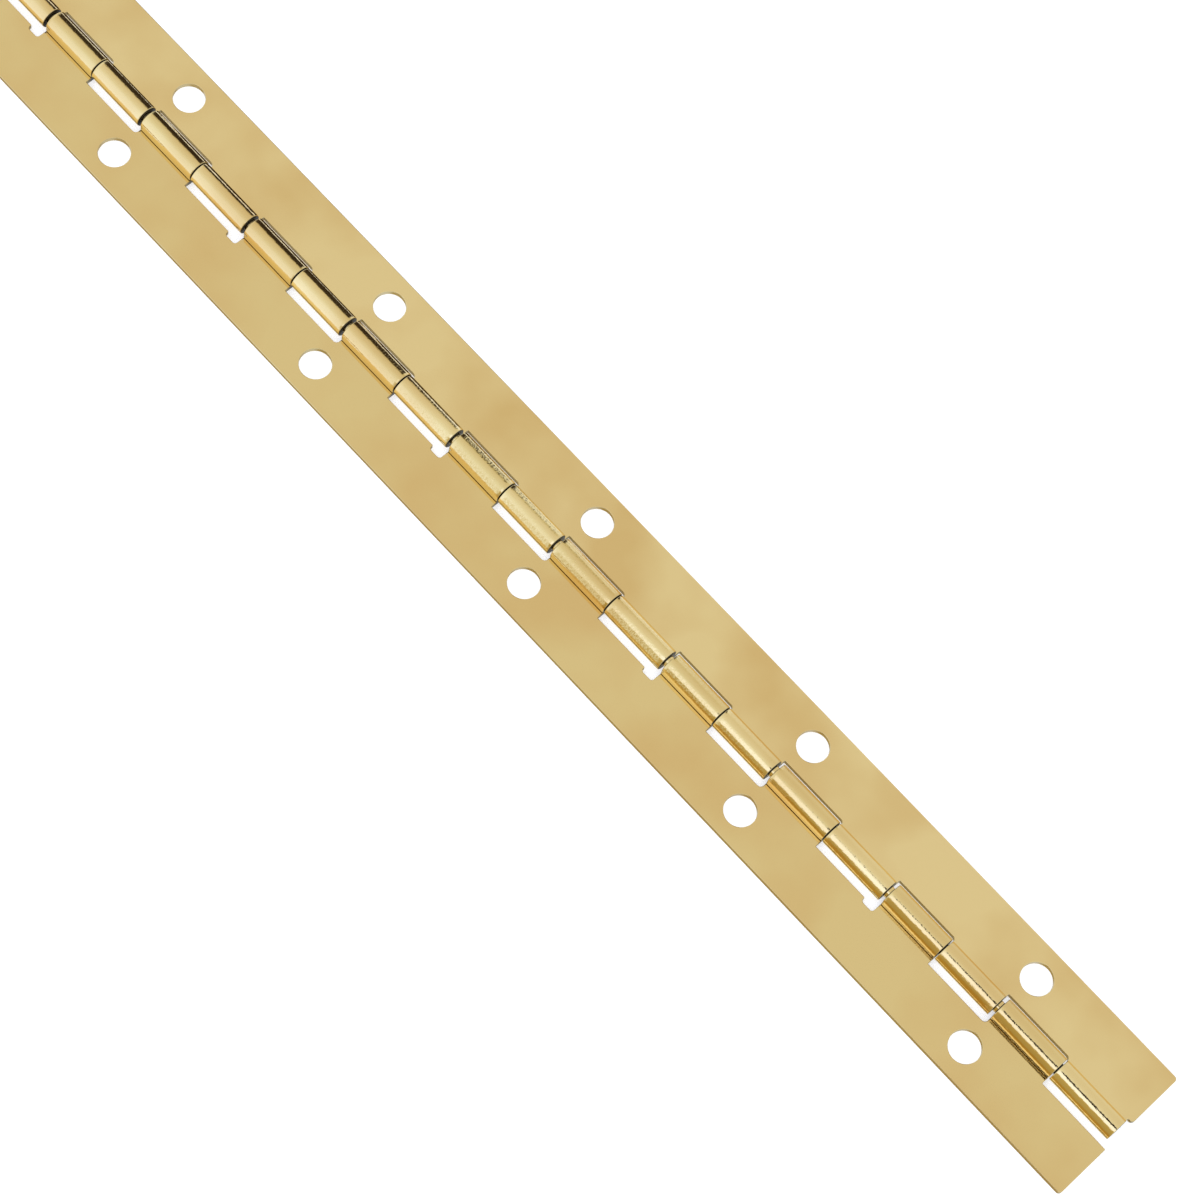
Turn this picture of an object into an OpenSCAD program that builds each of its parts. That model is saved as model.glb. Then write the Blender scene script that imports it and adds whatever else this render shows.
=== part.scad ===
// Piano hinge: two stamped leaves with rolled knuckles, turning on one long wire pin.
// X runs along the pin, Y across the leaves, Z up. The hinge lies open, its flat back is
// at z = 0, and the origin is the middle of that back.

/* [Hinge] */
// Number of die steps along the hinge, with one screw hole to each leaf in every step
die_steps = 6; // [2:1:18]
// Length of one die step, which is also the distance between screw holes
step_length = 50.8; // [40:0.1:80]
// Width over both leaves when the hinge lies open
open_width = 27; // [24:0.5:76]
// Thickness of the sheet that both leaves are stamped from
sheet_thickness = 1; // [0.7:0.05:1.3]
// How far both leaves run on past the last joint at each end
end_margin = 0.6; // [0.4:0.05:2]
// Radius of the corners of the leaves
corner_radius = 0.6; // [0.2:0.1:1]

/* [Pin] */
// Diameter of the wire pin
pin_diameter = 2.1; // [1.6:0.1:3]
// Radial running clearance between the pin and the knuckles
pin_clearance = 0.05; // [0.02:0.01:0.1]
// How far each end of the pin stops short of the end of the barrel
pin_recess = 0.3; // [0.1:0.1:2]
// Chamfer on the ends of the pin
pin_chamfer = 0.2; // [0.1:0.05:0.4]

/* [Knuckles] */
// Knuckles of one leaf in each die step
knuckles_per_step = 2; // [1:1:3]
// Half the difference in length between the long and the short knuckles of a step
knuckle_stagger = 0.45; // [0:0.05:1]
// Gap at the -X end of each door leaf knuckle, where neighbours all but touch
tight_gap = 0.2; // [0.05:0.05:0.3]
// Gap at the +X end of each door leaf knuckle, where the end play gathers
loose_gap = 0.7; // [0.3:0.05:1.2]
// Gap between the cut edge of the rolled sheet and the face of its leaf
seam_gap = 0.2; // [0.02:0.01:0.4]

/* [Notches] */
// Distance from the barrel out to the edge of the notches in the frame leaf
frame_notch_clearance = 1.05; // [0.8:0.05:2]
// Distance from the barrel out to the edge of the notches in the door leaf
door_notch_clearance = 0.9; // [0.8:0.05:2]
// Radius of the corner at the -X end of each notch, and of the corner where an open notch
// meets the end of its leaf
notch_start_radius = 0.15; // [0.05:0.05:0.4]
// Radius of the corner at the +X end of each notch
notch_end_radius = 0.7; // [0.2:0.1:1]
// Length of the relief lobe where two die steps meet
lobe_length = 2.4; // [1.5:0.1:4]
// How much deeper than the notch the relief lobe is
lobe_depth = 0.8; // [0.3:0.1:1.2]
// Radius of the corners at the bottom of the relief lobe
lobe_radius = 0.5; // [0.1:0.1:0.7]

/* [Screw holes] */
// Diameter of the screw holes
hole_diameter = 5.5; // [3:0.1:7]
// Distance from the middle of a hole to the outer edge of its leaf
hole_edge_distance = 5.35; // [4:0.05:7]

/* [Pin stake] */
// Diameter of the punch mark that holds the pin in the first knuckle
stake_diameter = 1; // [0.6:0.1:1.4]
// Depth of the punch mark
stake_depth = 0.35; // [0.2:0.05:0.6]
// How far the metal raised by the punch bites into the pin
stake_bite = 0.02; // [0.01:0.01:0.04]

/* [Hidden] */
$fn = 64;
// Overshoot of a cut past the face that it opens
past = 1;

pattern_end = die_steps * step_length / 2;
end_x = pattern_end + end_margin;
hinge_length = 2 * end_x;
pin_radius = pin_diameter / 2;
bore_radius = pin_radius + pin_clearance;
barrel_radius = bore_radius + sheet_thickness;
frame_notch_edge = barrel_radius + frame_notch_clearance;
door_notch_edge = barrel_radius + door_notch_clearance;
leaf_edge = open_width / 2;
hole_line = leaf_edge - hole_edge_distance;

// The barrel is a row of cells, one knuckle in each. Even cells belong to the frame leaf
// and odd ones to the door leaf.
cells_per_step = 2 * knuckles_per_step;
cell_count = die_steps * cells_per_step;
cell_length = step_length / cells_per_step;

// Joint i is the plane before cell i. Short cells fill the first half of a step and long
// ones the second, so a joint lags most at the middle of its step.
function into_step(i) = (i % cells_per_step) / cells_per_step;
function lag(i) = knuckle_stagger * cells_per_step * min(into_step(i), 1 - into_step(i));
function joint_x(i) = -pattern_end + i * cell_length - lag(i);

// The gap at joint i. The first and last joints have one too, past which the strip is cut.
function gap(i) = (i % 2 == 1) ? tight_gap : loose_gap;
function knuckle_start(i) = joint_x(i) + gap(i) / 2;
function knuckle_end(i) = joint_x(i + 1) - gap(i + 1) / 2;

// The waste that leaves a round corner when it is cut from a square one at the origin
module corner_waste(radius) {
    difference() {
        translate([-past, -past])
            square(radius + past);
        translate([radius, radius])
            circle(radius);
    }
}

// Plan of a notch cut from the axis out to depth, with a round corner at each end of its
// bottom
module notch_plan(from_x, to_x, depth, from_radius, to_radius) {
    deeper = max(from_radius, to_radius);
    translate([from_x, deeper - depth])
        square([to_x - from_x, depth - deeper + past]);
    translate([from_x, from_radius - depth])
        square([(to_x - from_x) / 2, depth - from_radius]);
    translate([from_x + from_radius, -depth])
        square([to_x - from_x - from_radius - to_radius, depth]);
    translate([from_x + from_radius, from_radius - depth])
        circle(from_radius);
    translate([to_x - to_radius, to_radius - depth])
        circle(to_radius);
}

// The notch that makes room for the other leaf's knuckle in cell i. The first and last
// notches run out past the ends of the leaf.
module notch(i, notch_edge) {
    from_x = (i <= 0) ? -end_x - past : knuckle_end(i - 1);
    to_x = (i >= cell_count - 1) ? end_x + past : knuckle_start(i + 1);
    end_radius = (i < 0) ? notch_start_radius : notch_end_radius;
    notch_plan(from_x, to_x, notch_edge, notch_start_radius, end_radius);
}

// The relief lobe at the +X end of the notch in cell i
module relief_lobe(i, notch_edge) {
    to_x = knuckle_start(i + 1);
    notch_plan(to_x - lobe_length, to_x, notch_edge + lobe_depth, lobe_radius, lobe_radius);
}

// Plan of a leaf that lies towards -Y, with a notch at every second cell from first_notch,
// which is -1 or 0, out to notch_edge from the pin's axis
module leaf_plan(first_notch, has_lobes, notch_edge) {
    start_radius = (first_notch < 0) ? corner_radius : notch_start_radius;
    end_radius = (first_notch < 0) ? notch_start_radius : corner_radius;
    difference() {
        translate([-end_x, -leaf_edge])
            square([hinge_length, leaf_edge]);
        for (side = [0, 1])
            mirror([side, 0])
                translate([-end_x, -leaf_edge])
                    corner_waste(corner_radius);
        // The corners where the first and last notches run out of the leaf
        translate([-end_x, -notch_edge])
            mirror([0, 1])
                corner_waste(start_radius);
        translate([end_x, -notch_edge])
            mirror([1, 0])
                mirror([0, 1])
                    corner_waste(end_radius);
        for (i = [first_notch : 2 : cell_count]) {
            notch(i, notch_edge);
            if (has_lobes && i > 0 && i + 1 < cell_count && (i + 1) % cells_per_step == 0)
                relief_lobe(i, notch_edge);
        }
    }
}

// Section of a rolled knuckle whose leaf lies towards -Y. The sheet passes under the pin,
// round it and back, and its last quarter stays straight and butts on the leaf.
module knuckle_section() {
    difference() {
        union() {
            translate([0, barrel_radius])
                circle(barrel_radius);
            translate([-barrel_radius, sheet_thickness])
                square([barrel_radius, bore_radius]);
        }
        translate([0, barrel_radius])
            circle(bore_radius);
        translate([-bore_radius, sheet_thickness])
            square(bore_radius);
        translate([-barrel_radius - past, sheet_thickness])
            square([sheet_thickness + past, seam_gap]);
    }
}

// The knuckle in cell i
module knuckle(i) {
    translate([knuckle_start(i), 0, 0])
        rotate([90, 0, 90])
            linear_extrude(knuckle_end(i) - knuckle_start(i))
                knuckle_section();
}

// A whole leaf that lies towards -Y, with its first knuckle in cell first_knuckle
module leaf(first_knuckle, has_lobes, notch_edge) {
    difference() {
        union() {
            linear_extrude(sheet_thickness)
                leaf_plan(first_knuckle - 1, has_lobes, notch_edge);
            for (i = [first_knuckle : 2 : cell_count - 1])
                knuckle(i);
        }
        for (k = [0 : die_steps - 1])
            translate([(k + 0.5) * step_length - pattern_end, -hole_line, -past])
                cylinder(h = sheet_thickness + 2 * past, d = hole_diameter);
    }
}

// The leaf that is screwed to the frame. A punch mark under its first knuckle raises a
// pip that bites into the pin.
module frame_leaf() {
    mark_x = joint_x(0) + cell_length / 2;
    pip_top = sheet_thickness + pin_clearance + stake_bite;
    color("#d6bf83") {
        difference() {
            leaf(0, true, frame_notch_edge);
            translate([mark_x, 0, -past])
                cylinder(h = stake_depth + past, d = stake_diameter);
        }
        translate([mark_x, 0, stake_depth])
            cylinder(h = pip_top - stake_depth, d = stake_diameter);
    }
}

// The leaf that is screwed to the door
module door_leaf() {
    color("#dcc48c")
        mirror([0, 1, 0])
            leaf(1, false, door_notch_edge);
}

// The wire pin, with a chamfer at each end
module hinge_pin() {
    half_length = pattern_end - loose_gap / 2 - pin_recess;
    color("#c9a95c")
        translate([0, 0, barrel_radius])
            rotate([0, 90, 0])
                rotate_extrude()
                    polygon([
                        [0, -half_length],
                        [pin_radius - pin_chamfer, -half_length],
                        [pin_radius, pin_chamfer - half_length],
                        [pin_radius, half_length - pin_chamfer],
                        [pin_radius - pin_chamfer, half_length],
                        [0, half_length]
                    ]);
}

frame_leaf();
door_leaf();
hinge_pin();
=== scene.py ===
import math
import random

import bpy
import numpy as np
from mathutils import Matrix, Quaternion, Vector
from mathutils.geometry import delaunay_2d_cdt


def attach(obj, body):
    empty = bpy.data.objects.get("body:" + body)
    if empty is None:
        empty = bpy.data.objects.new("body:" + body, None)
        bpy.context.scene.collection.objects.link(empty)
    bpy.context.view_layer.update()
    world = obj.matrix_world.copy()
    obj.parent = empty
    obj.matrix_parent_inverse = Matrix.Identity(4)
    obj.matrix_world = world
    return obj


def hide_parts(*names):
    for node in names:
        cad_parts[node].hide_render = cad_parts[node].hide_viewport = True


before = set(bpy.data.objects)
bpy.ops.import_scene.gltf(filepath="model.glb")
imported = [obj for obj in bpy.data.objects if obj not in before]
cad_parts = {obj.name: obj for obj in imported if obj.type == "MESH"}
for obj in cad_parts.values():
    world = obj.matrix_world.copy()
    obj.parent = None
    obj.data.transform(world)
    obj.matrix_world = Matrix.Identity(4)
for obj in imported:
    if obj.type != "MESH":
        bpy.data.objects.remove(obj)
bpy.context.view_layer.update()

# A brass-plated piano hinge, lying open on a pale table. Both leaves are made as the press makes
# them: a flat blank is cut out of strip, its edges are softened, and its tabs are rolled round
# the pin. Lengths are in millimetres until a mesh is stored, which is in metres.
print("scene: piano hinge")

mm = 0.001

hinge = {
    "dieSteps": 6,
    "stepLength": 50.8,
    "openWidth": 27.0,
    "sheetThickness": 1.0,
    "pinRadius": 1.05,
    "pinClearance": 0.05,
    "knuckleStagger": 0.45,  # half the difference between a long and a short knuckle
    "tightGap": 0.2,
    "looseGap": 0.7,
    "seamGap": 0.2,
    "endMargin": 0.6,  # how far the leaves run on past the last joint
}
patternEnd = hinge["dieSteps"] * hinge["stepLength"] / 2
halfLength = patternEnd + hinge["endMargin"]
leafEdge = hinge["openWidth"] / 2
sheet = hinge["sheetThickness"]
boreRadius = hinge["pinRadius"] + hinge["pinClearance"]
barrelRadius = boreRadius + sheet
cellsPerStep = 4
cellCount = hinge["dieSteps"] * cellsPerStep
cellLength = hinge["stepLength"] / cellsPerStep
neutralRadius = boreRadius + sheet / 2  # the sheet neither stretches nor shrinks at this radius
rollTurn = 1.5 * math.pi  # three quarters of a turn, and the last quarter stays straight
rollLength = neutralRadius * rollTurn
tabEnd = rollLength + barrelRadius - sheet - hinge["seamGap"]


def jointX(i):
    # The plane before cell i. Short cells fill the first half of a die step.
    intoStep = (i % cellsPerStep) / cellsPerStep
    lag = hinge["knuckleStagger"] * cellsPerStep * min(intoStep, 1 - intoStep)
    return i * cellLength - patternEnd - lag


def jointGap(i):
    return hinge["tightGap"] if i % 2 else hinge["looseGap"]


def knuckleStart(i):
    return jointX(i) + jointGap(i) / 2


def knuckleEnd(i):
    return jointX(i + 1) - jointGap(i + 1) / 2


def smoothStep(value, low, high):
    t = np.clip((value - low) / (high - low), 0, 1)
    return t * t * (3 - 2 * t)


# Roll of the knuckles

roll = {
    "seed": 11,
    "wander": 0.018,  # mm that a knuckle strays from round, a little different in each
    "endDrop": 0.03,  # mm that a knuckle draws in at its ends
    "endReach": 0.7,
    # The die leaves a soft ridge along some knuckles. Each pair is its angle from the top of the
    # barrel towards +Y, in degrees, and its height in mm.
    "ridges": {
        1: (38, 0.07), 3: (22, 0.12), 5: (38, 0.07), 7: (22, 0.12), 9: (38, 0.07), 11: (22, 0.12),
        13: (38, 0.05), 15: (22, 0.08), 16: (-48, 0.07), 17: (-48, 0.07), 18: (-50, 0.1),
        19: (-50, 0.11), 21: (-50, 0.11),
    },
    "otherRidge": (30, 0.02),
    "ridgeSpread": 18,  # degrees over which a ridge falls away
    "ridgeCrest": 3,  # degrees of its soft crest
    # The knuckle is true where the sheet starts to roll, and strays from here on, in radians
    "strayFrom": 1.5,
    "strayFull": 2.4,
}
rollRandom = random.Random(roll["seed"])
knuckleWander = []
for cell in range(cellCount):
    waves = [(k, rollRandom.uniform(0.4, 1) / k, rollRandom.uniform(0, 2 * math.pi)) for k in (2, 3, 4)]
    lean = rollRandom.uniform(-1, 1)
    knuckleWander.append((waves, lean))


def rollShrink(cell, angle, along):
    # How far inside the true cylinder the outer face lies at that angle round the pin
    waves, lean = knuckleWander[cell]
    start = knuckleStart(cell)
    end = knuckleEnd(cell)
    drop = np.zeros_like(angle)
    across = (along - (start + end) / 2) / (end - start)
    for k, size, phase in waves:
        drop += roll["wander"] * size * (1 - np.cos(k * angle + phase + lean * across)) / 2
    ridgeAngle, ridgeHeight = roll["ridges"].get(cell, roll["otherRidge"])
    # The roll runs towards the leaf's own side, which is -Y on the frame and +Y on the door
    towardsOwn = ridgeAngle if cell % 2 else -ridgeAngle
    fromRidge = np.degrees(angle) - 180 - towardsOwn
    crest = roll["ridgeCrest"]
    falling = (np.sqrt(fromRidge ** 2 + crest ** 2) - crest) / roll["ridgeSpread"]
    drop += ridgeHeight * (1 - np.exp(-falling))
    fromEnd = np.minimum(along - start, end - along)
    drop += roll["endDrop"] * np.clip(1 - fromEnd / roll["endReach"], 0, 1) ** 2
    return drop * smoothStep(angle, roll["strayFrom"], roll["strayFull"])


def rollUp(x, v, h, cell):
    # Takes points of the flat blank to their places in the finished leaf. x runs along the
    # hinge, v across the blank with the start of the roll at 0, and h up through the sheet.
    y = v.copy()
    z = h.copy()
    for i in np.unique(cell):
        if i < 0:
            continue
        at = np.nonzero((cell == i) & (v > 0))[0]
        angle = np.minimum(v[at] / neutralRadius, rollTurn)
        straight = np.maximum(v[at] - rollLength, 0)
        shrink = rollShrink(i, angle, x[at]) * np.clip(1 - h[at] / sheet, 0, 1)
        radius = barrelRadius - h[at] - shrink
        y[at] = radius * np.sin(angle)
        z[at] = barrelRadius - radius * np.cos(angle) - straight
    return np.stack([x, y, z], axis=1)


# Blank of a leaf

blank = {
    "cornerRadius": 0.6,
    "frameNotchClearance": 1.05,
    "doorNotchClearance": 0.9,
    "notchStartRadius": 0.15,
    "notchEndRadius": 0.7,
    "lobeLength": 2.4,
    "lobeDepth": 0.8,
    "lobeRadius": 0.5,
    "lobeLipRadius": 0.2,
    "holeDiameter": 5.5,
    "holeToEdge": 5.35,
    "edgeRadius": 0.12,  # the press leaves the cut edges soft, and plating keeps them so
    "edgeSteps": 4,
    # How dark the cut edges are, where 1 is inside a joint. The darkness in the joints, seams and
    # notches is partly oil and partly painted shade, standing for the shadow in the gaps.
    "openEdgeShade": 0.3,
    "notchEdgeShade": 0.62,
    "jointEdgeShade": 1.0,
    "rootLine": -2.0,  # the tabs are meshed as a grid beyond this line
}

# How closely the leaves are meshed, in mm
meshing = {
    "pointSpacing": 3.0,
    "rowShare": 0.75,  # spacing of the rows of scattered points, as a share of the point spacing
    "outerMargin": 1.6,  # how far scattered points stay from the outer edge
    "firstMargin": 2.0,
    "lastMargin": 1.5,
    "notchMargin": 0.9,
    "lobeMargin": 0.5,
    "holeMargin": 0.9,
    "holePoints": 96,
    "bodyLine": -2.5,  # beyond this line an outline belongs to the tabs
    "rollStep": 4.5,  # degrees
    "straightRows": 7,
    "rootRows": [-1.5, -1.0, -0.5],
    "endColumns": [0.24, 0.4, 0.62, 0.95, 1.4],  # lines near the ends of a knuckle
    "middleFrom": 2.1,
    "middleColumns": 10,
    "markReach": 0.7,  # half the width of the fine grid round the punch mark
    "markStep": 0.07,
    "same": 1e-5,  # points nearer than this are one
}
frameNotchEdge = barrelRadius + blank["frameNotchClearance"]
doorNotchEdge = barrelRadius + blank["doorNotchClearance"]
holeLine = leafEdge - blank["holeToEdge"]

punchMark = {
    "x": jointX(0) + cellLength / 2,
    "radius": 0.5,
    "depth": 0.35,
    "rise": 0.07,
    "tip": 0.25,  # the flat tip of the punch, as a share of the radius
}


def markGrid():
    reach = meshing["markReach"]
    return np.arange(-reach, reach + 0.01, meshing["markStep"])


def rounded(corners):
    # Turns corners of (x, v, radius) into points, with an arc at each corner that has a radius
    points = []
    count = len(corners)
    for k, (x, v, radius) in enumerate(corners):
        if radius == 0:
            points.append((x, v))
            continue
        here = Vector((x, v))
        back = (Vector(corners[k - 1][:2]) - here).normalized()
        ahead = (Vector(corners[(k + 1) % count][:2]) - here).normalized()
        halfAngle = math.acos(max(-1, min(1, back.dot(ahead)))) / 2
        reach = radius / math.tan(halfAngle)
        centre = here + (back + ahead).normalized() * (radius / math.sin(halfAngle))
        first = here + back * reach - centre
        last = here + ahead * reach - centre
        sweep = first.angle_signed(last)
        steps = max(3, math.ceil(abs(sweep) / math.radians(11)))
        for s in range(steps + 1):
            turn = -sweep * s / steps
            c = math.cos(turn)
            d = math.sin(turn)
            points.append((centre.x + first.x * c - first.y * d, centre.y + first.x * d + first.y * c))
    return points


def tabColumns(cell):
    # Places of the grid lines along a knuckle, closer together near its ends
    start = knuckleStart(cell)
    end = knuckleEnd(cell)
    near = [blank["edgeRadius"], *meshing["endColumns"]]
    inner = meshing["middleFrom"]
    middle = np.linspace(start + inner, end - inner, meshing["middleColumns"]).tolist()
    columns = [start + d for d in near] + middle + [end - d for d in reversed(near)]
    if cell == 0:
        clear = meshing["markReach"] + 0.1
        fine = markGrid() + punchMark["x"]
        columns = [c for c in columns if abs(c - punchMark["x"]) > clear] + fine.tolist()
    return sorted(columns)


def tabRows(cell):
    # Places of the grid lines across a tab, from its root to just before its cut end
    arc = np.radians(np.arange(0, math.degrees(rollTurn) + 0.1, meshing["rollStep"])) * neutralRadius
    straight = np.linspace(rollLength, tabEnd - blank["edgeRadius"], meshing["straightRows"])[1:]
    rows = [blank["rootLine"], *meshing["rootRows"], *arc.tolist(), *straight.tolist()]
    if cell == 0:
        clear = meshing["markReach"] + 0.05
        rows = [r for r in rows if abs(r) > clear] + markGrid().tolist()
    return sorted(rows)


def blankOutline(firstKnuckle, hasLobes, notchEdge):
    # The outline of the blank, counter-clockwise, as corners of (x, v, radius)
    corner = blank["cornerRadius"]
    sharp = blank["notchStartRadius"]
    besideEnd = corner if firstKnuckle else sharp
    besideStart = sharp if firstKnuckle else corner
    corners = [
        (-halfLength, -leafEdge, corner),
        (halfLength, -leafEdge, corner),
        (halfLength, -notchEdge, besideEnd),
    ]
    for i in reversed(range(firstKnuckle, cellCount, 2)):
        start = knuckleStart(i)
        end = knuckleEnd(i)
        rows = tabRows(i)[:-1]
        corners.append((end, -notchEdge, sharp))
        corners += [(end, r, 0) for r in rows]
        corners.append((end, tabEnd, 0))
        corners += [(c, tabEnd, 0) for c in reversed(tabColumns(i)[1:-1])]
        corners.append((start, tabEnd, 0))
        corners += [(start, r, 0) for r in reversed(rows)]
        if i == 0:
            corners.append((start, -notchEdge, sharp))
        elif hasLobes and i % cellsPerStep == 0:
            lobeEdge = notchEdge + blank["lobeDepth"]
            lobeSide = start - blank["lobeLength"]
            corners.append((start, -lobeEdge, blank["lobeRadius"]))
            corners.append((lobeSide, -lobeEdge, blank["lobeRadius"]))
            corners.append((lobeSide, -notchEdge, blank["lobeLipRadius"]))
        else:
            corners.append((start, -notchEdge, blank["notchEndRadius"]))
    corners.append((-halfLength, -notchEdge, besideStart))
    return rounded(corners)


def outwardNormals(loop):
    # Mitred outward direction at each point of a closed loop whose metal is on its left
    points = np.array(loop)
    ahead = np.roll(points, -1, axis=0) - points
    ahead /= np.linalg.norm(ahead, axis=1)[:, None]
    back = np.roll(ahead, 1, axis=0)
    normalAhead = np.stack([ahead[:, 1], -ahead[:, 0]], axis=1)
    normalBack = np.stack([back[:, 1], -back[:, 0]], axis=1)
    normal = normalAhead + normalBack
    normal /= np.linalg.norm(normal, axis=1)[:, None]
    stretch = 1 / np.maximum((normal * normalAhead).sum(axis=1), 0.5)
    return normal, stretch


def insideLoops(points, loops):
    # Even-odd test of many points against closed loops
    inside = np.zeros(len(points), bool)
    for loop in loops:
        a = np.array(loop)
        b = np.roll(a, -1, axis=0)
        for (ax, ay), (bx, by) in zip(a, b):
            if ay == by:
                continue
            crosses = (points[:, 1] > min(ay, by)) & (points[:, 1] <= max(ay, by))
            where = ax + (points[:, 1] - ay) * (bx - ax) / (by - ay)
            inside ^= crosses & (points[:, 0] < where)
    return inside


def bodyPoints(outline):
    # Long straight edges away from the tabs take extra points
    points = []
    for point, following in zip(outline, outline[1:] + outline[:1]):
        onBody = max(point[1], following[1]) < meshing["bodyLine"]
        pieces = max(1, round(math.dist(point, following) / meshing["pointSpacing"])) if onBody else 1
        for s in range(pieces):
            t = s / pieces
            points.append((point[0] + (following[0] - point[0]) * t,
                           point[1] + (following[1] - point[1]) * t))
    return points


def holeOutlines():
    radius = blank["holeDiameter"] / 2
    turns = np.linspace(0, -2 * math.pi, meshing["holePoints"], endpoint=False)
    outlines = []
    for k in range(hinge["dieSteps"]):
        x = (k + 0.5) * hinge["stepLength"] - patternEnd
        outlines.append([(x + radius * math.cos(t), radius * math.sin(t) - holeLine) for t in turns])
    return outlines


def scatteredPoints(holes, hasLobes, notchEdge):
    # Points inside the flat of the leaf, in rows, clear of its holes and notches
    spacing = meshing["pointSpacing"]
    rows = np.arange(-leafEdge + meshing["outerMargin"], -notchEdge - meshing["notchMargin"],
                     spacing * meshing["rowShare"])
    last = halfLength - meshing["lastMargin"]
    points = []
    for row, v in enumerate(rows):
        first = meshing["firstMargin"] - halfLength + (spacing / 2 if row % 2 else 0)
        points += [(x, v) for x in np.arange(first, last, spacing)]
    points = np.array(points)
    clear = np.ones(len(points), bool)
    for hole in holes:
        away = np.hypot(*(points - hole.mean(axis=0)).T)
        clear &= away > blank["holeDiameter"] / 2 + meshing["holeMargin"]
    if hasLobes:
        clear &= points[:, 1] < -notchEdge - blank["lobeDepth"] - meshing["lobeMargin"]
    return points[clear]


def bodyTriangles(plan, loopIds, insideIds):
    # Triangles between the outline of the body, its holes and the points inside
    ids = [p for loop in loopIds for p in loop] + insideIds
    edges = []
    offset = 0
    for loop in loopIds:
        edges += [(offset + k, offset + (k + 1) % len(loop)) for k in range(len(loop))]
        offset += len(loop)
    result = delaunay_2d_cdt([Vector(plan[p]) for p in ids], edges, [], 0, 1e-7)
    sources = [ids[s[0]] for s in result[3]]
    triangles = np.array([[sources[v] for v in face] for face in result[2]])
    places = np.array(plan)
    corners = places[triangles]
    kept = insideLoops(corners.mean(axis=1), [places[loop] for loop in loopIds])
    # Triangles with no area, along the straight borders, are left out
    kept &= np.ptp(corners, axis=1).min(axis=1) > meshing["same"]
    faces = []
    for a, b, c in triangles[kept]:
        ab = places[b] - places[a]
        ac = places[c] - places[a]
        faces.append((a, b, c) if ab[0] * ac[1] - ab[1] * ac[0] > 0 else (a, c, b))
    return faces


def rimProfile():
    # Across the soft cut edge: a quarter round at the top, a straight wall, a quarter round
    # below. Each point is how far in it lies, its height, how much it faces outward and up, and
    # how dark it is.
    soft = blank["edgeRadius"]
    steps = blank["edgeSteps"]
    profile = []
    for s in range(1, steps + 1):
        turn = math.radians(90 * s / steps)
        profile.append((soft * (1 - math.sin(turn)), sheet - soft * (1 - math.cos(turn)),
                        math.sin(turn), math.cos(turn), s / steps))
    for s in range(steps):
        turn = math.radians(90 * s / steps)
        profile.append((soft * (1 - math.cos(turn)), soft * (1 - math.sin(turn)),
                        math.cos(turn), -math.sin(turn), 1 - s / steps))
    return profile


def bentNormals(x, v, h, cell, normals):
    # The normals follow the roll: each is carried by the inverse of the bend at its point
    small = 1e-4
    alongX = (rollUp(x + small, v, h, cell) - rollUp(x - small, v, h, cell)) / (2 * small)
    alongV = (rollUp(x, v + small, h, cell) - rollUp(x, v - small, h, cell)) / (2 * small)
    alongH = (rollUp(x, v, h + small, cell) - rollUp(x, v, h - small, cell)) / (2 * small)
    bend = np.stack([alongX, alongV, alongH], axis=2)
    bent = np.einsum("nij,nj->ni", np.transpose(np.linalg.inv(bend), (0, 2, 1)), normals)
    return bent / np.linalg.norm(bent, axis=1)[:, None]


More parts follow.
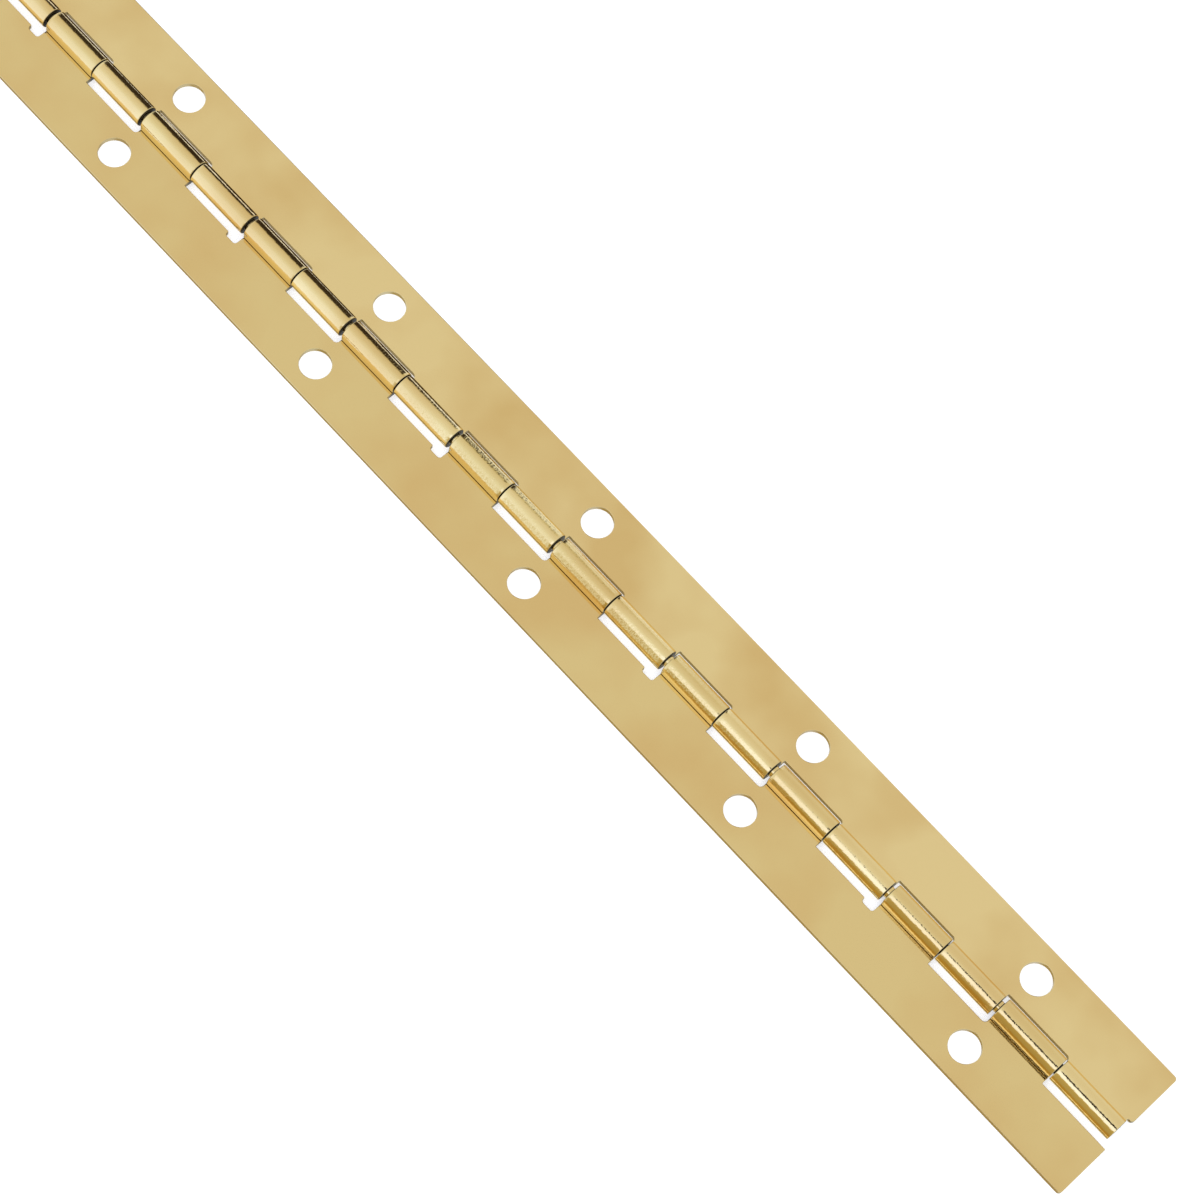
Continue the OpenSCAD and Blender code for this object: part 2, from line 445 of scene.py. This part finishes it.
def leafMesh(name, firstKnuckle, hasLobes, notchEdge, mirrored):
    rootLine = blank["rootLine"]
    knuckles = list(range(firstKnuckle, cellCount, 2))
    plan = []  # points of both faces of the sheet
    planCell = []
    known = {}

    def planPoint(x, v, cell):
        key = (round(x, 5), round(v, 5))
        if key not in known:
            known[key] = len(plan)
            plan.append((x, v))
            planCell.append(cell)
        return known[key]

    def cellAt(x, v):
        if v < rootLine - 0.01:
            return -1
        for i in knuckles:
            if knuckleStart(i) - 0.01 <= x <= knuckleEnd(i) + 0.01:
                return i
        return -1

    loops = []
    outline = bodyPoints(blankOutline(firstKnuckle, hasLobes, notchEdge))
    for loop in [outline] + holeOutlines():
        normal, stretch = outwardNormals(loop)
        points = np.array(loop)
        inner = points - normal * stretch[:, None] * blank["edgeRadius"]
        cells = [cellAt(*point) for point in loop]
        ids = [planPoint(x, v, cell) for (x, v), cell in zip(inner, cells)]
        loops.append({"points": points, "normal": normal, "stretch": stretch, "cells": cells,
                      "ids": ids})

    # Tabs, as grids
    faces = []
    rootRows = {}
    for i in knuckles:
        grid = [[planPoint(c, r, i) for c in tabColumns(i)] for r in tabRows(i)]
        rootRows[i] = grid[0]
        for lower, upper in zip(grid, grid[1:]):
            for k in range(len(lower) - 1):
                faces.append((lower[k], lower[k + 1], upper[k + 1], upper[k]))

    # The rest of the leaf, between the outline, the holes and the tabs' roots
    border = []
    walk = loops[0]["ids"]
    for k, point in enumerate(walk):
        v = plan[point][1]
        if v < rootLine - 1e-6:
            border.append(point)
        elif abs(v - rootLine) < 1e-6 and plan[walk[k - 1]][1] < v:
            border += reversed(rootRows[planCell[point]])
    holes = [loop["points"] for loop in loops[1:]]
    insideIds = [planPoint(x, v, -1) for x, v in scatteredPoints(holes, hasLobes, notchEdge)]
    faces += bodyTriangles(plan, [border] + [loop["ids"] for loop in loops[1:]], insideIds)

    # Both faces of the sheet
    count = len(plan)
    planArray = np.array(plan)
    normals = np.zeros((2 * count, 3))
    normals[:count, 2] = 1
    normals[count:, 2] = -1
    parts = [(np.tile(planArray[:, 0], 2), np.tile(planArray[:, 1], 2),
              np.repeat([sheet, 0.0], count), np.array(planCell * 2), normals, np.zeros(2 * count))]
    allFaces = faces + [tuple(count + p for p in reversed(face)) for face in faces]

    # The cut edges. Those of the joints, seams and notches are darker: partly oil, partly painted shade
    # for the shadow in the gaps.
    total = 2 * count
    profile = rimProfile()
    for loop in loops:
        size = len(loop["ids"])
        cells = np.array(loop["cells"])
        # Painted shade: the knuckle ends and notch walls are darkened to stand for the shadow in the
        # joints and slots
        inNotch = loop["points"][:, 1] > -notchEdge - blank["lobeDepth"] - 0.01
        edgeShade = np.where(inNotch, blank["notchEdgeShade"], blank["openEdgeShade"])
        edgeShade[cells >= 0] = blank["jointEdgeShade"]
        rings = [np.array(loop["ids"])]
        for inward, height, outwardPart, upPart, shade in profile:
            place = loop["points"] - loop["normal"] * loop["stretch"][:, None] * inward
            rimNormal = np.zeros((size, 3))
            rimNormal[:, :2] = loop["normal"] * outwardPart
            rimNormal[:, 2] = upPart
            parts.append((place[:, 0], place[:, 1], np.full(size, height), cells, rimNormal,
                          edgeShade * shade))
            rings.append(np.arange(total, total + size))
            total += size
        rings.append(np.array(loop["ids"]) + count)
        for upper, lower in zip(rings, rings[1:]):
            for k in range(size):
                n = (k + 1) % size
                allFaces.append((upper[k], lower[k], lower[n], upper[n]))
    x, v, h, cell, normals, cutEdge = [np.concatenate(group) for group in zip(*parts)]

    # The punch mark under the first knuckle, and the pip that it raises inside
    flatH = h
    dented = np.zeros(len(x), bool)
    if firstKnuckle == 0:
        away = np.hypot(x - punchMark["x"], v)
        cone = 1 - smoothStep(away, punchMark["radius"] * punchMark["tip"], punchMark["radius"])
        rise = np.where(flatH < sheet / 2, punchMark["depth"], punchMark["rise"])
        h = np.where((cell == 0) & (flatH != sheet / 2), flatH + rise * cone, flatH)
        dented = (away < punchMark["radius"] * 1.05) & (cell == 0)

    place = rollUp(x, v, h, cell)
    bent = bentNormals(x, v, h, cell, normals)
    if mirrored:
        place[:, 1] *= -1
        bent[:, 1] *= -1
        allFaces = [tuple(reversed(face)) for face in allFaces]

    mesh = bpy.data.meshes.new(name)
    mesh.from_pydata((place * mm).tolist(), [], [tuple(int(p) for p in face) for face in allFaces])
    mesh.update()
    mesh.shade_smooth()
    sheetPlace = mesh.attributes.new("sheetPlace", "FLOAT_VECTOR", "POINT")
    sheetPlace.data.foreach_set("vector", np.stack([x, v, flatH], axis=1).astype(np.float32).ravel())
    edgeMark = mesh.attributes.new("cutEdge", "FLOAT", "POINT")
    edgeMark.data.foreach_set("value", cutEdge.astype(np.float32))
    if dented.any():
        meshNormals = np.array([n.vector[:] for n in mesh.vertex_normals])
        bent[dented] = meshNormals[dented]
    mesh.normals_split_custom_set_from_vertices(bent.tolist())
    leaf = bpy.data.objects.new(name, mesh)
    bpy.context.scene.collection.objects.link(leaf)
    print(f"scene: {name} with {len(place)} points and {len(allFaces)} faces")
    return leaf


frameLeaf = leafMesh("frameLeafSheet", 0, True, frameNotchEdge, False)
doorLeaf = leafMesh("doorLeafSheet", 1, False, doorNotchEdge, True)


# Pin

pin = {
    "recess": 0.3,
    "chamfer": 0.2,
    "softening": 0.04,
    "segments": 72,
    # Old oil and painted shade darken the wire, except a bright band in the middle of each loose joint;
    # the dark lines beside it are painted shade and reflection of the knuckle ends. Half the width of
    # the bright band and of the dark lines outside it, in mm
    "brightBand": 0.17,
    "darkFrom": 0.27,
    "endShade": 0.5,
}


def pinMesh(name):
    radius = hinge["pinRadius"]
    reach = patternEnd - hinge["looseGap"] / 2 - pin["recess"]
    chamfer = pin["chamfer"]
    soft = pin["softening"]
    darkLineFrom = pin["darkFrom"]
    bright = pin["brightBand"]
    shade = pin["endShade"]
    most, half, least = 0.924, 0.707, 0.383  # parts of a direction at 22.5 and 45 degrees
    # Half of the side view, from the middle of one end to the middle of the other:
    # (x, radius, how much the surface faces outward along the pin, how much sideways, darkness of oil
    # and painted shade)
    end = [
        (reach, 0.0, 1, 0, shade),
        (reach, (radius - chamfer) * 0.5, 1, 0, shade),
        (reach, radius - chamfer - soft, 1, 0, shade),
        (reach - soft * 0.3, radius - chamfer, most, least, shade),
        (reach - soft, radius - chamfer + soft * 0.7, half, half, shade),
        (reach - chamfer + soft * 0.7, radius - soft, half, half, shade),
        (reach - chamfer, radius - soft * 0.3, least, most, shade),
        (reach - chamfer - soft, radius, 0, 1, shade),
    ]
    middle = []
    for i in reversed(range(1, cellCount)):
        joint = jointX(i)
        inJoint = float(i % 2)  # painted shade: tight joints are dark right across
        middle.append((joint + darkLineFrom, radius, 0, 1, 1.0))
        middle.append((joint + bright, radius, 0, 1, inJoint))
        middle.append((joint - bright, radius, 0, 1, inJoint))
        middle.append((joint - darkLineFrom, radius, 0, 1, 1.0))
    farEnd = [(-px, r, -along, outward, oilAndShade) for px, r, along, outward, oilAndShade in reversed(end)]
    side = [*end, *middle, *farEnd]
    points = []
    normals = []
    oilAndShadePoints = []
    faces = []
    count = pin["segments"]
    for px, r, along, outward, oilAndShade in side:
        ring = 1 if r == 0 else count
        # Painted shade: the wire is dark beside and inside the joints, partly as oil
        oilAndShadePoints += [oilAndShade] * ring
        for k in range(ring):
            turn = 2 * math.pi * k / count
            points.append((px, r * math.cos(turn), barrelRadius + r * math.sin(turn)))
            normals.append((along, outward * math.cos(turn), outward * math.sin(turn)))
    for k in range(count):
        faces.append((0, 1 + k, 1 + (k + 1) % count))
    rings = len(side) - 2
    for ring in range(rings - 1):
        a = 1 + ring * count
        b = a + count
        for k in range(count):
            n = (k + 1) % count
            faces.append((a + k, b + k, b + n, a + n))
    last = 1 + (rings - 1) * count
    for k in range(count):
        faces.append((last + (k + 1) % count, last + k, last + count))
    mesh = bpy.data.meshes.new(name)
    mesh.from_pydata([tuple(c * mm for c in p) for p in points], [], faces)
    mesh.update()
    mesh.shade_smooth()
    wirePlace = mesh.attributes.new("sheetPlace", "FLOAT_VECTOR", "POINT")
    wirePlace.data.foreach_set("vector", np.array(points, np.float32).ravel())
    oilAndShadeMark = mesh.attributes.new("cutEdge", "FLOAT", "POINT")
    oilAndShadeMark.data.foreach_set("value", np.array(oilAndShadePoints, np.float32))
    mesh.normals_split_custom_set_from_vertices(normals)
    wire = bpy.data.objects.new(name, mesh)
    bpy.context.scene.collection.objects.link(wire)
    print(f"scene: {name} with {len(points)} points")
    return wire


hingePin = pinMesh("hingePinWire")


# Materials

def linearColour(hexColour):
    # sRGB hex to linear, with alpha
    values = [int(hexColour[k:k + 2], 16) / 255 for k in (1, 3, 5)]
    linear = [c / 12.92 if c <= 0.04045 else ((c + 0.055) / 1.055) ** 2.4 for c in values]
    return (*linear, 1)


def addNode(tree, kind, settings=None, inputs=None):
    # Adds a node, sets its properties and its sockets, and links any socket given as an output
    node = tree.nodes.new(kind)
    for key, value in (settings or {}).items():
        setattr(node, key, value)
    for key, value in (inputs or {}).items():
        if isinstance(value, bpy.types.NodeSocket):
            tree.links.new(value, node.inputs[key])
        else:
            node.inputs[key].default_value = value
    return node


plating = {
    "frameColour": "#f2d792",
    # Painted light: the door leaf has the same plating as the frame leaf, and its lighter colour stands
    # for the brighter light on that leaf
    "doorColour": "#f9df9c",
    "cloudColour": "#ecca84",
    "edgeColour": "#1c140a",  # thin plate and old oil, and painted shade, inside the joints and notches
    "cloudSize": 22,  # mm
    "cloudFrom": 0.42,
    "cloudFull": 0.68,
    "lineSpacing": 0.35,  # mm between rolling lines; real ones are finer than shows here
    "lineLength": 30,
    "speckSpacing": 5,
    "speckEdge": 0.03,  # radius of a speck, as a share of the spacing
    "speckFade": 0.05,
    "peelSize": 2.4,
    "grainSize": 0.25,  # the rolling tool's grain, on the knuckles only
    "grainStretch": 0.45,  # it runs along the barrel
    "grainFull": 2.0,  # mm into the roll where it reaches its full depth
    "grainDepth": 12,  # times the depth of the other marks
    "lineDepth": 0.1,
    "markDepth": 0.0000015,  # metres
    "smoothest": 0.06,  # roughness
    "roughest": 0.09,
    "speckRoughness": 0.2,
    "edgeRoughness": 0.35,
    "oilAndShadeFrom": 0.75,  # edge darkness from which the metal turns dark and dull: oil and dirt, and painted shade
    "oilAndShadeMetal": 0.15,
    "lacquer": 0.1,
    "lacquerRoughness": 0.05,
}


def brassPlatedSteel(name, colour):
    # Bright brass plate on cold-rolled steel strip, under thin clear lacquer. To the eye: a warm soft
    # mirror with faint lines along the strip, slow clouds, a few specks, duller cut edges, and painted
    # shade on the edges in the joints and notches.
    material = bpy.data.materials.new(name)
    material.use_nodes = True
    tree = material.node_tree
    tree.nodes.clear()
    place = addNode(tree, "ShaderNodeAttribute", {"attribute_name": "sheetPlace"})
    edge = addNode(tree, "ShaderNodeAttribute", {"attribute_name": "cutEdge"})
    clouds = addNode(tree, "ShaderNodeTexNoise", {},
                     {"Vector": place.outputs["Vector"], "Scale": 1 / plating["cloudSize"],
                      "Detail": 3.0, "Roughness": 0.5})
    stretch = addNode(tree, "ShaderNodeMapping", {},
                      {"Vector": place.outputs["Vector"],
                       "Scale": (1 / plating["lineLength"], 1 / plating["lineSpacing"], 0.0)})
    lines = addNode(tree, "ShaderNodeTexNoise", {},
                    {"Vector": stretch.outputs["Vector"], "Scale": 1.0, "Detail": 4.0, "Roughness": 0.6})
    specks = addNode(tree, "ShaderNodeTexVoronoi", {"feature": "F1"},
                     {"Vector": place.outputs["Vector"], "Scale": 1 / plating["speckSpacing"],
                      "Randomness": 1.0})
    speckMask = addNode(tree, "ShaderNodeMapRange", {},
                        {"Value": specks.outputs["Distance"], "From Min": plating["speckEdge"],
                         "From Max": plating["speckFade"], "To Min": 1.0, "To Max": 0.0})
    cloudMask = addNode(tree, "ShaderNodeMapRange", {},
                        {"Value": clouds.outputs["Fac"], "From Min": plating["cloudFrom"],
                         "From Max": plating["cloudFull"], "To Min": 0.0, "To Max": 1.0})
    cloudy = addNode(tree, "ShaderNodeMix", {"data_type": "RGBA"},
                     {0: cloudMask.outputs["Result"], 6: linearColour(colour),
                      7: linearColour(plating["cloudColour"])})
    # Painted shade: the cutEdge mark darkens the colour in the joints and notches, partly as oil
    edged = addNode(tree, "ShaderNodeMix", {"data_type": "RGBA"},
                    {0: edge.outputs["Fac"], 6: cloudy.outputs[2],
                     7: linearColour(plating["edgeColour"])})
    roughBase = addNode(tree, "ShaderNodeMapRange", {},
                        {"Value": lines.outputs["Fac"], "From Min": 0.3, "From Max": 0.7,
                         "To Min": plating["smoothest"], "To Max": plating["roughest"]})
    roughSpecks = addNode(tree, "ShaderNodeMath", {"operation": "MULTIPLY_ADD"},
                          {0: speckMask.outputs["Result"], 1: plating["speckRoughness"],
                           2: roughBase.outputs["Result"]})
    roughEdge = addNode(tree, "ShaderNodeMath", {"operation": "MULTIPLY_ADD"},
                        {0: edge.outputs["Fac"], 1: plating["edgeRoughness"],
                         2: roughSpecks.outputs["Value"]})
    peel = addNode(tree, "ShaderNodeTexNoise", {},
                   {"Vector": place.outputs["Vector"], "Scale": 1 / plating["peelSize"],
                    "Detail": 1.0})
    grainPlace = addNode(tree, "ShaderNodeMapping", {},
                         {"Vector": place.outputs["Vector"],
                          "Scale": (plating["grainStretch"], 1.0, 1.0)})
    grain = addNode(tree, "ShaderNodeTexNoise", {},
                    {"Vector": grainPlace.outputs["Vector"], "Scale": 1 / plating["grainSize"],
                     "Detail": 2.0})
    across = addNode(tree, "ShaderNodeSeparateXYZ", {}, {0: place.outputs["Vector"]})
    onKnuckle = addNode(tree, "ShaderNodeMapRange", {},
                        {"Value": across.outputs["Y"], "From Min": 0.0,
                         "From Max": plating["grainFull"], "To Min": 0.0,
                         "To Max": plating["grainDepth"]})
    rolledGrain = addNode(tree, "ShaderNodeMath", {"operation": "MULTIPLY"},
                          {0: grain.outputs["Fac"], 1: onKnuckle.outputs["Result"]})
    fineHeight = addNode(tree, "ShaderNodeMath", {"operation": "MULTIPLY_ADD"},
                         {0: lines.outputs["Fac"], 1: plating["lineDepth"],
                          2: rolledGrain.outputs["Value"]})
    height = addNode(tree, "ShaderNodeMath", {"operation": "ADD"},
                     {0: fineHeight.outputs["Value"], 1: peel.outputs["Fac"]})
    bump = addNode(tree, "ShaderNodeBump", {},
                   {"Height": height.outputs["Value"], "Strength": 1.0,
                    "Distance": plating["markDepth"]})
    # Oil and dirt, and painted shade, cover the metal in the joints and notches
    bare = addNode(tree, "ShaderNodeMapRange", {},
                   {"Value": edge.outputs["Fac"], "From Min": plating["oilAndShadeFrom"], "From Max": 1.0,
                    "To Min": 1.0, "To Max": plating["oilAndShadeMetal"]})
    shader = addNode(tree, "ShaderNodeBsdfPrincipled", {},
                     {"Base Color": edged.outputs[2], "Metallic": bare.outputs["Result"],
                      "Roughness": roughEdge.outputs["Value"], "Normal": bump.outputs["Normal"],
                      "Coat Weight": plating["lacquer"],
                      "Coat Roughness": plating["lacquerRoughness"]})
    addNode(tree, "ShaderNodeOutputMaterial", {}, {"Surface": shader.outputs["BSDF"]})
    return material


framePlating = brassPlatedSteel("brassPlatedSteelStripFrame", plating["frameColour"])
# Painted light: the door leaf's copy of the plating is lighter than the frame leaf's
doorPlating = brassPlatedSteel("brassPlatedSteelStripDoor", plating["doorColour"])
wirePlating = brassPlatedSteel("brassPlatedSteelWire", plating["frameColour"])
frameLeaf.data.materials.append(framePlating)
doorLeaf.data.materials.append(doorPlating)
hingePin.data.materials.append(wirePlating)

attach(frameLeaf, "frame_side")
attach(hingePin, "frame_side")
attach(doorLeaf, "door_side")
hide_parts("frame_leaf")
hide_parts("door_leaf")
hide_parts("hinge_pin")
print("scene: pieces ride their bodies")


# Table

# In metres. The drop keeps the table just clear of the hinge's flat back.
table = {"radius": 20.0, "drop": 0.00002, "rimPoints": 96, "colour": "#f7f6f4", "roughness": 0.6,
         "glow": 0.55}


def makeTable():
    mesh = bpy.data.meshes.new("lightTable")
    rim = table["rimPoints"]
    reach = table["radius"]
    points = [(0, 0, -table["drop"])]
    for k in range(rim):
        turn = 2 * math.pi * k / rim
        points.append((reach * math.cos(turn), reach * math.sin(turn), -table["drop"]))
    mesh.from_pydata(points, [], [(0, 1 + k, 1 + (k + 1) % rim) for k in range(rim)])
    top = bpy.data.objects.new("lightTable", mesh)
    bpy.context.scene.collection.objects.link(top)
    # Opal acrylic lit from below, which gives an even pale ground without hard shadows
    acrylic = bpy.data.materials.new("opalAcrylic")
    acrylic.use_nodes = True
    shader = acrylic.node_tree.nodes["Principled BSDF"]
    shader.inputs["Base Color"].default_value = linearColour(table["colour"])
    shader.inputs["Roughness"].default_value = table["roughness"]
    shader.inputs["Emission Color"].default_value = (1, 1, 1, 1)
    shader.inputs["Emission Strength"].default_value = table["glow"]
    mesh.materials.append(acrylic)
    top.visible_glossy = False


makeTable()


# Light: one soft tent, brighter in some directions than in others

# Brightness round the hinge, seen from the pin: the angle from straight up towards +Y, in
# degrees, and the brightness there. Each list holds for one direction along the hinge (the X
# part of the direction).
tent = {
    -0.275: [
        (-180, 0.45), (-154, 0.45), (-145, 1.2), (-100, 1.17), (-70, 1.1), (-45, 1.06),
        (-20, 0.91), (0, 0.81), (19, 0.745), (33, 0.66), (42, 0.06), (50, 0.03), (90, 0.03),
        (94, 1.15), (160, 1.0), (180, 0.45),
    ],
    -0.22: [
        (-180, 0.45), (-154, 0.45), (-145, 1.0), (-110, 0.9), (-70, 0.85), (-45, 0.95), (-20, 0.9),
        (0, 0.8), (19, 0.745), (38, 0.64), (48, 0.62), (58, 0.98), (74, 0.96), (80, 0.7),
        (90, 1.1), (160, 1.0), (180, 0.45),
    ],
    -0.13: [
        (-180, 0.45), (-154, 0.45), (-145, 0.9), (-140, 0.9), (-130, 0.36), (-58, 0.42),
        (-51, 1.25), (-30, 1.25), (-15, 0.92), (0, 0.79), (19, 0.745), (40, 0.72), (60, 0.74),
        (82, 0.78), (100, 0.7), (180, 0.45),
    ],
    -0.05: [
        (-180, 0.45), (-154, 0.45), (-145, 0.9), (-140, 0.9), (-130, 0.3), (-54, 0.42), (-47, 1.3),
        (-28, 1.3), (-14, 0.92), (0, 0.8), (19, 0.745), (40, 0.73), (60, 0.73), (82, 0.78),
        (180, 0.45),
    ],
}
# Beyond these X parts of the direction the tent is plain: where it starts to be, and is fully
sides = {
    "brightness": 0.95,
    "nearStart": 0.15,
    "nearFull": 0.45,
    "farStart": -0.43,
    "farFull": -0.52,
}
# The dim parts of the tent are warm and the brightest ones cool: brightness, and how much red
# and blue there is to the green
warmth = [
    (0.0, 1.3, 0.9), (0.1, 1.3, 0.6), (0.44, 1.2, 0.45), (0.6, 1.03, 0.8), (0.745, 1.0, 1.03),
    (0.88, 0.93, 1.1), (1.03, 0.89, 1.3), (1.3, 0.89, 1.5),
]
# The camera's own dark front, seen in the nearest knuckles: its direction and half its width
cameraFront = {
    "direction": (0.06, -0.275, 0.959),
    "halfWidth": 7.4,
    "softness": 0.8,
    "brightness": 0.02,
}
tentStrength = 2.0  # the ramps hold brightness up to 1, so they hold it divided by this


def tentColour(bright):
    levels, reds, blues = zip(*warmth)
    red = bright * np.interp(bright, levels, reds)
    blue = bright * np.interp(bright, levels, blues)
    return (float(red) / tentStrength, bright / tentStrength, float(blue) / tentStrength, 1)


def makeTent():
    world = bpy.data.worlds.new("softTent")
    bpy.context.scene.world = world
    world.use_nodes = True
    tree = world.node_tree
    tree.nodes.clear()
    direction = addNode(tree, "ShaderNodeTexCoord")
    parts = addNode(tree, "ShaderNodeSeparateXYZ", {}, {0: direction.outputs["Generated"]})
    angle = addNode(tree, "ShaderNodeMath", {"operation": "ARCTAN2"},
                    {0: parts.outputs["Y"], 1: parts.outputs["Z"]})
    turn = addNode(tree, "ShaderNodeMapRange", {},
                   {"Value": angle.outputs["Value"], "From Min": -math.pi, "From Max": math.pi})
    blended = None
    before = None
    for along, stops in tent.items():
        ramp = addNode(tree, "ShaderNodeValToRGB", {}, {"Fac": turn.outputs["Result"]})
        ramp.color_ramp.interpolation = "LINEAR"
        elements = ramp.color_ramp.elements
        while len(elements) < len(stops):
            elements.new(0.5)
        for element, (degrees, bright) in zip(elements, stops):
            element.position = (degrees + 180) / 360
            element.color = tentColour(bright)
        if blended is None:
            blended = ramp.outputs["Color"]
        else:
            share = addNode(tree, "ShaderNodeMapRange", {"interpolation_type": "SMOOTHSTEP"},
                            {"Value": parts.outputs["X"], "From Min": before, "From Max": along})
            mix = addNode(tree, "ShaderNodeMix", {"data_type": "RGBA"},
                          {0: share.outputs["Result"], 6: blended, 7: ramp.outputs["Color"]})
            blended = mix.outputs[2]
        before = along
    for start, full in (("nearStart", "nearFull"), ("farStart", "farFull")):
        share = addNode(tree, "ShaderNodeMapRange", {"interpolation_type": "SMOOTHSTEP"},
                        {"Value": parts.outputs["X"], "From Min": sides[start],
                         "From Max": sides[full]})
        mix = addNode(tree, "ShaderNodeMix", {"data_type": "RGBA"},
                      {0: share.outputs["Result"], 6: blended, 7: tentColour(sides["brightness"])})
        blended = mix.outputs[2]
    toCamera = addNode(tree, "ShaderNodeVectorMath", {"operation": "DOT_PRODUCT"},
                       {0: direction.outputs["Generated"], 1: cameraFront["direction"]})
    inner = math.cos(math.radians(cameraFront["halfWidth"] - cameraFront["softness"]))
    outer = math.cos(math.radians(cameraFront["halfWidth"] + cameraFront["softness"]))
    share = addNode(tree, "ShaderNodeMapRange", {},
                    {"Value": toCamera.outputs["Value"], "From Min": outer, "From Max": inner})
    mix = addNode(tree, "ShaderNodeMix", {"data_type": "RGBA"},
                  {0: share.outputs["Result"], 6: blended, 7: tentColour(cameraFront["brightness"])})
    blended = mix.outputs[2]
    seen = addNode(tree, "ShaderNodeLightPath")
    tentGlow = addNode(tree, "ShaderNodeBackground", {}, {"Color": blended, "Strength": tentStrength})
    plain = addNode(tree, "ShaderNodeBackground", {}, {"Color": (1, 1, 1, 1), "Strength": 1.0})
    both = addNode(tree, "ShaderNodeMixShader", {},
                   {0: seen.outputs["Is Camera Ray"], 1: tentGlow.outputs[0], 2: plain.outputs[0]})
    addNode(tree, "ShaderNodeOutputWorld", {}, {"Surface": both.outputs[0]})


makeTent()
print("scene: table and light")


# Camera

view = {
    "place": (139.67, -174.36, 495.91),  # mm
    "aim": (35.36, -0.44, 0.0),
    "tilt": 17.239,  # degrees that the camera is turned about its own line of sight
    "lens": 99.52,
    "sensorWidth": 36,
    "clipStart": 0.01,  # metres
    "clipEnd": 100,
}


def makeCamera():
    camera = bpy.data.objects.new("studioCamera", bpy.data.cameras.new("studioCamera"))
    bpy.context.scene.collection.objects.link(camera)
    place = Vector(view["place"]) * mm
    sight = Vector(view["aim"]) * mm - place
    level = sight.to_track_quat("-Z", "Y")
    camera.rotation_mode = "QUATERNION"
    camera.rotation_quaternion = level @ Quaternion((0, 0, 1), math.radians(view["tilt"]))
    camera.location = place
    camera.data.lens = view["lens"]
    camera.data.sensor_width = view["sensorWidth"]
    camera.data.clip_start = view["clipStart"]
    camera.data.clip_end = view["clipEnd"]
    bpy.context.scene.camera = camera


makeCamera()
bpy.context.scene.view_settings.view_transform = "Standard"
print("scene: camera")
